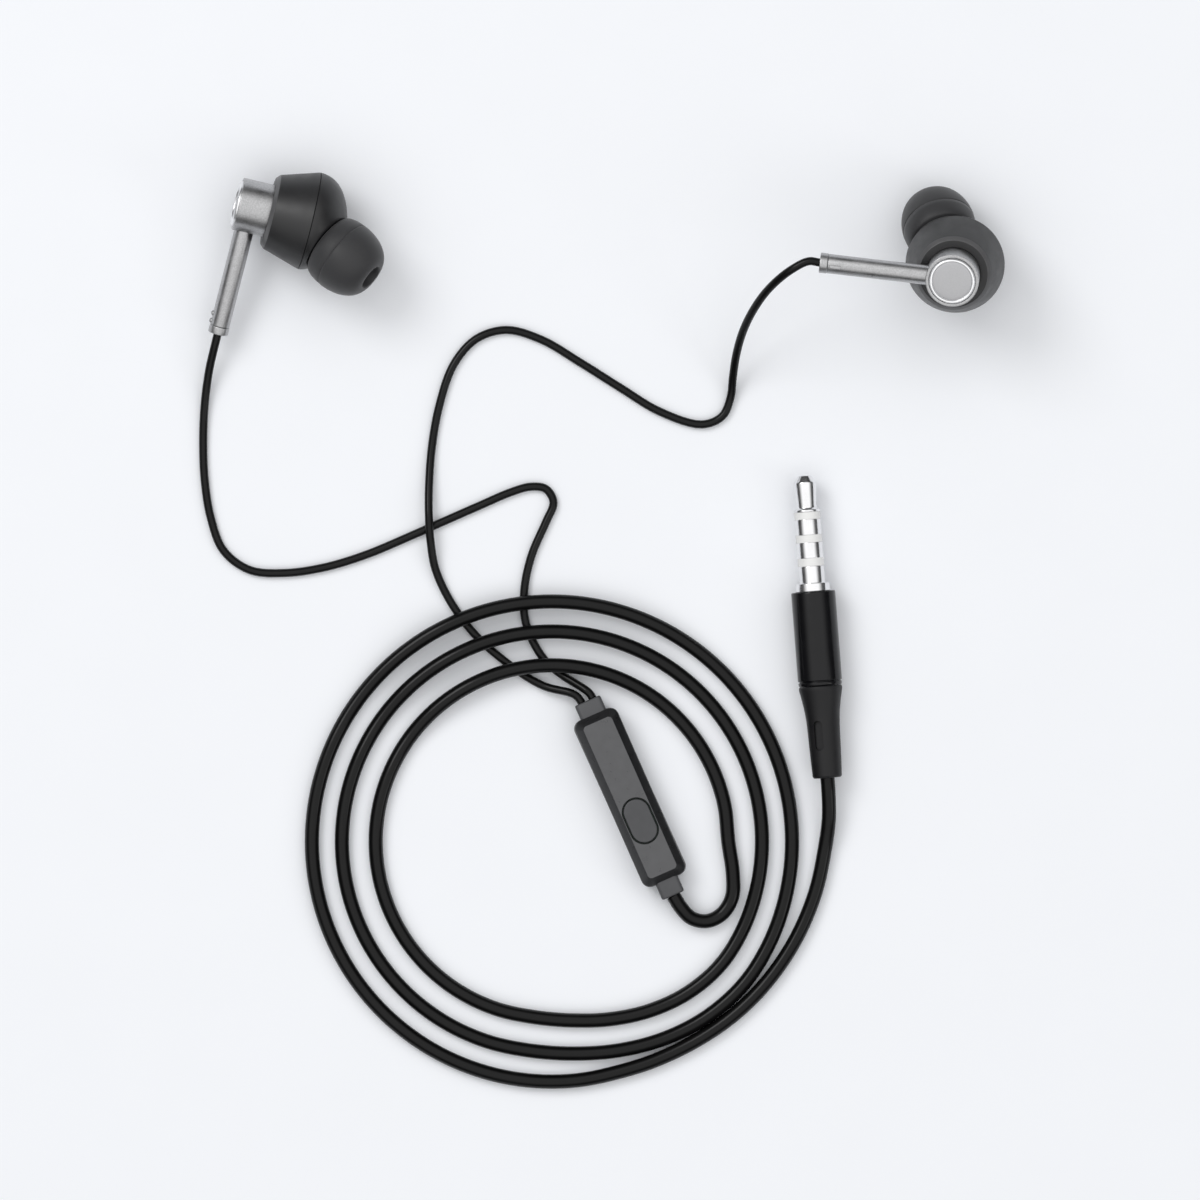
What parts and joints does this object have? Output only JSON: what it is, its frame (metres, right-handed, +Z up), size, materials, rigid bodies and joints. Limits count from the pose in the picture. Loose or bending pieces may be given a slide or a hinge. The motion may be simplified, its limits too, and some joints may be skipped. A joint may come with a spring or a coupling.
{
  "type": "wired earphones",
  "caption": "Wired in-ear earphones: angled earbuds with silicone tips and metal barrels, thin branch cords, in-line remote and a coiled main cord with a straight plug.",
  "frame": {"origin": "on the surface the earphones lie on, midway between the two earbuds, under the centre of the box round both of them without the cords", "axes": "+X from the left earbud towards the right one, +Y away from the coil of cord, +Z up from the surface"},
  "size_m": [0.1072, 0.1218, 0.0201],
  "materials": {
    "badge_metal": "satin, with fine turned rings",
    "barrel_metal": "bead blasted, satin",
    "stem_metal": "bead blasted, as the barrel",
    "ferrule_metal": "bead blasted",
    "housing_black": "satin black moulded plastic",
    "mesh_steel": "fine woven mesh",
    "foam": "open foam and vent cloth",
    "silicone": "matte dark grey silicone",
    "driver_plastic": "moulded frame",
    "driver_steel": "zinc plated",
    "magnet_nickel": "nickel plated",
    "cone_film": "thin formed film",
    "copper_coil": "enamelled copper wire",
    "board_green": "solder mask",
    "remote_grey": "semi-gloss dark grey, fine texture",
    "button_grey": "semi-gloss near black",
    "switch_black": "moulded",
    "switch_white": "moulded",
    "mic_gold": "gold flashed",
    "grommet_rubber": "satin moulded rubber",
    "contact_chrome": "polished nickel plate",
    "insulator_white": "white moulded",
    "plug_gloss": "high gloss black",
    "boot_rubber": "matte black moulded",
    "cord_black": "semi-gloss black jacket"
  },
  "bodies": {
    "earphones": {"left_badge": "badge_metal", "left_rear_barrel": "barrel_metal", "left_stem_tube": "stem_metal", "left_stem_ferrule": "ferrule_metal", "left_rear_housing": "housing_black", "left_front_cap": "housing_black", "left_nozzle_mesh": "mesh_steel", "left_damper": "foam", "left_driver_frame": "driver_plastic", "left_driver_yoke": "driver_steel", "left_driver_magnet": "magnet_nickel", "left_driver_top_plate": "driver_steel", "left_driver_board": "board_green", "left_vent_filter": "foam", "left_cord_knot": "cord_black", "right_badge": "badge_metal", "right_rear_barrel": "barrel_metal", "right_stem_tube": "stem_metal", "right_stem_ferrule": "ferrule_metal", "right_rear_housing": "housing_black", "right_front_cap": "housing_black", "right_nozzle_mesh": "mesh_steel", "right_damper": "foam", "right_driver_frame": "driver_plastic", "right_driver_yoke": "driver_steel", "right_driver_magnet": "magnet_nickel", "right_driver_top_plate": "driver_steel", "right_driver_board": "board_green", "right_vent_filter": "foam", "right_cord_knot": "cord_black", "remote_top_shell": "remote_grey", "remote_bottom_shell": "remote_grey", "remote_circuit_board": "board_green", "remote_switch_body": "switch_black", "remote_microphone": "mic_gold", "remote_top_grommet": "grommet_rubber", "remote_bottom_grommet": "grommet_rubber", "plug_tip": "contact_chrome", "plug_front_ring": "contact_chrome", "plug_rear_ring": "contact_chrome", "plug_sleeve": "contact_chrome", "plug_insulators": "insulator_white", "plug_core": "mic_gold", "plug_barrel": "plug_gloss", "plug_boot": "boot_rubber", "left_branch_cord": "cord_black", "right_branch_cord": "cord_black", "main_cord": "cord_black"},
    "left_tip": {"left_ear_tip": "silicone"},
    "right_tip": {"right_ear_tip": "silicone"},
    "button": {"remote_button": "button_grey"},
    "plunger": {"remote_switch_plunger": "switch_white"},
    "left_cone": {"left_diaphragm": "cone_film", "left_voice_coil": "copper_coil"},
    "right_cone": {"right_diaphragm": "cone_film", "right_voice_coil": "copper_coil"}
  },
  "joints": [
    {"name": "left_tip_swivel", "type": "hinge", "parent": "earphones", "child": "left_tip", "pos_m": [-0.03713, 0.0015, 0.00837], "axis": [0.755, -0.5947, 0.2761], "continuous": true},
    {"name": "right_tip_swivel", "type": "hinge", "parent": "earphones", "child": "right_tip", "pos_m": [0.04498, 0.00189, 0.00754], "axis": [-0.2292, 0.6453, -0.7288], "continuous": true},
    {"name": "button_press", "type": "slide", "parent": "earphones", "child": "button", "axis": [0, 0, -1], "range_m": [0, 0.0003], "stiffness_N_per_m": 1000},
    {"name": "plunger_press", "type": "slide", "parent": "earphones", "child": "plunger", "axis": [0, 0, -1], "range_m": [0, 0.0003]},
    {"name": "left_cone_stroke", "type": "slide", "parent": "earphones", "child": "left_cone", "axis": [0.9692, -0.2327, -0.0802], "range_m": [-0.00015, 0.00015], "stiffness_N_per_m": 500},
    {"name": "right_cone_stroke", "type": "slide", "parent": "earphones", "child": "right_cone", "axis": [0.0531, 0.2377, -0.9699], "range_m": [-0.00015, 0.00015], "stiffness_N_per_m": 500}
  ],
  "couplings": [
    {"joint": "plunger_press", "follows": "button_press", "ratio": 1}
  ]
}
